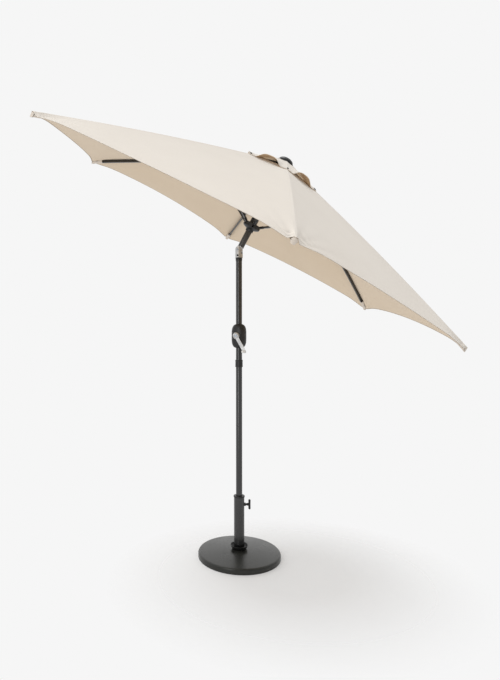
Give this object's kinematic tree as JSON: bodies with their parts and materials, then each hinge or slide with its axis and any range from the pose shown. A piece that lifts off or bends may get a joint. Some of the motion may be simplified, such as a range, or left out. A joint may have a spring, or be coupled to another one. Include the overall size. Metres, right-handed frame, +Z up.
{
  "type": "patio umbrella with base",
  "caption": "Tilted patio umbrella: vented fabric canopy on ribs and struts, crank lift, push-button tilt, steel pole clamped in a round weighted base.",
  "frame": {"origin": "centre of the base's underside, on the floor", "axes": "+Z up along the pole; +X the way the canopy leans; -Y the side that the crank is on"},
  "size_m": [2.3226, 2.3382, 2.641],
  "materials": {
    "canopy_fabric": "matte",
    "steel_black": "satin",
    "plastic_black": "satin",
    "cast_silver": "satin",
    "zinc": "satin",
    "grip_plastic": "satin",
    "base_resin": "satin",
    "concrete": "matte"
  },
  "bodies": {
    "stand": {"base_shell": "base_resin", "base_ballast": "concrete", "base_plate": "steel_black", "foot_collar": "plastic_black", "stand_tube": "steel_black", "tube_bush": "plastic_black", "pole_seat": "plastic_black", "clamp_nut": "steel_black"},
    "clamp_screw": {"clamp_screw": "zinc", "clamp_handle": "plastic_black"},
    "mast": {"lower_pole": "steel_black", "upper_pole": "steel_black", "pole_ferrule": "plastic_black", "pole_spigot": "steel_black", "pole_collar": "plastic_black", "crank_housing_front": "plastic_black", "crank_housing_rear": "plastic_black", "tilt_socket": "cast_silver", "tilt_pin": "zinc"},
    "tilt_button": {"tilt_button": "plastic_black"},
    "crank": {"crank_drum": "zinc", "crank_arm": "cast_silver"},
    "crank_grip": {"crank_grip": "grip_plastic"},
    "canopy_pole": {"tilt_knuckle": "cast_silver", "canopy_tube": "steel_black", "top_hub": "plastic_black", "hub_plate": "plastic_black", "finial": "plastic_black", "pulley_pin": "zinc", "vent_canopy": "canopy_fabric"},
    "top_pulley": {"top_pulley": "plastic_black"},
    "runner": {"runner": "plastic_black"},
    "rib_1": {"rib_1": "steel_black", "rib_bracket_1": "plastic_black", "canopy_1": "canopy_fabric"},
    "rib_2": {"rib_2": "steel_black", "rib_bracket_2": "plastic_black", "canopy_2": "canopy_fabric"},
    "rib_3": {"rib_3": "steel_black", "rib_bracket_3": "plastic_black", "canopy_3": "canopy_fabric"},
    "rib_4": {"rib_4": "steel_black", "rib_bracket_4": "plastic_black", "canopy_4": "canopy_fabric"},
    "rib_5": {"rib_5": "steel_black", "rib_bracket_5": "plastic_black", "canopy_5": "canopy_fabric"},
    "rib_6": {"rib_6": "steel_black", "rib_bracket_6": "plastic_black", "canopy_6": "canopy_fabric"},
    "strut_1": {"strut_1": "steel_black"},
    "strut_2": {"strut_2": "steel_black"},
    "strut_3": {"strut_3": "steel_black"},
    "strut_4": {"strut_4": "steel_black"},
    "strut_5": {"strut_5": "steel_black"},
    "strut_6": {"strut_6": "steel_black"}
  },
  "joints": [
    {"name": "pole_turn", "type": "hinge", "parent": "stand", "child": "mast", "pos_m": [0, 0, 0.06], "axis": [0, 0, 1], "continuous": true},
    {"name": "clamp_screw_turn", "type": "hinge", "parent": "stand", "child": "clamp_screw", "pos_m": [0, 0, 0.317], "axis": [0.8988, 0.4384, 0], "continuous": true},
    {"name": "canopy_tilt", "type": "hinge", "parent": "mast", "child": "canopy_pole", "pos_m": [0, 0, 1.873], "axis": [0, 1, 0], "range_deg": [-30.7, 0]},
    {"name": "tilt_button_press", "type": "slide", "parent": "mast", "child": "tilt_button", "axis": [0, 1, 0], "range_m": [0, 0.003], "stiffness_N_per_m": 600, "springref_m": -0.003},
    {"name": "crank_turn", "type": "hinge", "parent": "mast", "child": "crank", "pos_m": [0, -0.04, 1.346], "axis": [0, -1, 0], "range_deg": [0, 480]},
    {"name": "grip_spin", "type": "hinge", "parent": "crank", "child": "crank_grip", "pos_m": [0.0543, -0.07, 1.24804], "axis": [0, -1, 0], "continuous": true},
    {"name": "runner_slide", "type": "slide", "parent": "canopy_pole", "child": "runner", "axis": [-0.5105, 0, -0.8599], "range_m": [0, 0.1], "deforming": ["canopy_1", "canopy_2", "canopy_3", "canopy_4", "canopy_5", "canopy_6"]},
    {"name": "top_pulley_turn", "type": "hinge", "parent": "canopy_pole", "child": "top_pulley", "pos_m": [0.25527, 0, 2.30293], "axis": [0, 1, 0], "range_deg": [0, 560]},
    {"name": "rib_1_fold", "type": "hinge", "parent": "canopy_pole", "child": "rib_1", "pos_m": [0.31009, 0, 2.3169], "axis": [0, 1, 0], "range_deg": [0, 8.7]},
    {"name": "rib_2_fold", "type": "hinge", "parent": "canopy_pole", "child": "rib_2", "pos_m": [0.29289, 0.03464, 2.32711], "axis": [-0.7447, 0.5, 0.4421], "range_deg": [0, 8.7]},
    {"name": "rib_3_fold", "type": "hinge", "parent": "canopy_pole", "child": "rib_3", "pos_m": [0.2585, 0.03464, 2.34753], "axis": [-0.7447, -0.5, 0.4421], "range_deg": [0, 8.7]},
    {"name": "rib_4_fold", "type": "hinge", "parent": "canopy_pole", "child": "rib_4", "pos_m": [0.2413, 0, 2.35774], "axis": [0, -1, 0], "range_deg": [0, 8.7]},
    {"name": "rib_5_fold", "type": "hinge", "parent": "canopy_pole", "child": "rib_5", "pos_m": [0.2585, -0.03464, 2.34753], "axis": [0.7447, -0.5, -0.4421], "range_deg": [0, 8.7]},
    {"name": "rib_6_fold", "type": "hinge", "parent": "canopy_pole", "child": "rib_6", "pos_m": [0.29289, -0.03464, 2.32711], "axis": [0.7447, 0.5, -0.4421], "range_deg": [0, 8.7]},
    {"name": "strut_1_fold", "type": "hinge", "parent": "runner", "child": "strut_1", "pos_m": [0.11863, 0, 1.99445], "axis": [0, -1, 0], "range_deg": [0, 6.3]},
    {"name": "strut_2_fold", "type": "hinge", "parent": "runner", "child": "strut_2", "pos_m": [0.10144, 0.03464, 2.00467], "axis": [0.7447, -0.5, -0.4421], "range_deg": [0, 6.3]},
    {"name": "strut_3_fold", "type": "hinge", "parent": "runner", "child": "strut_3", "pos_m": [0.06704, 0.03464, 2.02509], "axis": [0.7447, 0.5, -0.4421], "range_deg": [0, 6.3]},
    {"name": "strut_4_fold", "type": "hinge", "parent": "runner", "child": "strut_4", "pos_m": [0.04985, 0, 2.0353], "axis": [0, 1, 0], "range_deg": [0, 6.3]},
    {"name": "strut_5_fold", "type": "hinge", "parent": "runner", "child": "strut_5", "pos_m": [0.06704, -0.03464, 2.02509], "axis": [-0.7447, 0.5, 0.4421], "range_deg": [0, 6.3]},
    {"name": "strut_6_fold", "type": "hinge", "parent": "runner", "child": "strut_6", "pos_m": [0.10144, -0.03464, 2.00467], "axis": [-0.7447, -0.5, 0.4421], "range_deg": [0, 6.3]}
  ],
  "couplings": [
    {"joint": "crank_turn", "follows": "runner_slide", "rad_per_m": 83.333},
    {"joint": "top_pulley_turn", "follows": "runner_slide", "rad_per_m": 95.238},
    {"joint": "rib_1_fold", "follows": "runner_slide", "rad_per_m": 1.4732},
    {"joint": "rib_2_fold", "follows": "runner_slide", "rad_per_m": 1.4732},
    {"joint": "rib_3_fold", "follows": "runner_slide", "rad_per_m": 1.4732},
    {"joint": "rib_4_fold", "follows": "runner_slide", "rad_per_m": 1.4732},
    {"joint": "rib_5_fold", "follows": "runner_slide", "rad_per_m": 1.4732},
    {"joint": "rib_6_fold", "follows": "runner_slide", "rad_per_m": 1.4732},
    {"joint": "strut_1_fold", "follows": "runner_slide", "rad_per_m": 1.0683},
    {"joint": "strut_2_fold", "follows": "runner_slide", "rad_per_m": 1.0683},
    {"joint": "strut_3_fold", "follows": "runner_slide", "rad_per_m": 1.0683},
    {"joint": "strut_4_fold", "follows": "runner_slide", "rad_per_m": 1.0683},
    {"joint": "strut_5_fold", "follows": "runner_slide", "rad_per_m": 1.0683},
    {"joint": "strut_6_fold", "follows": "runner_slide", "rad_per_m": 1.0683}
  ]
}
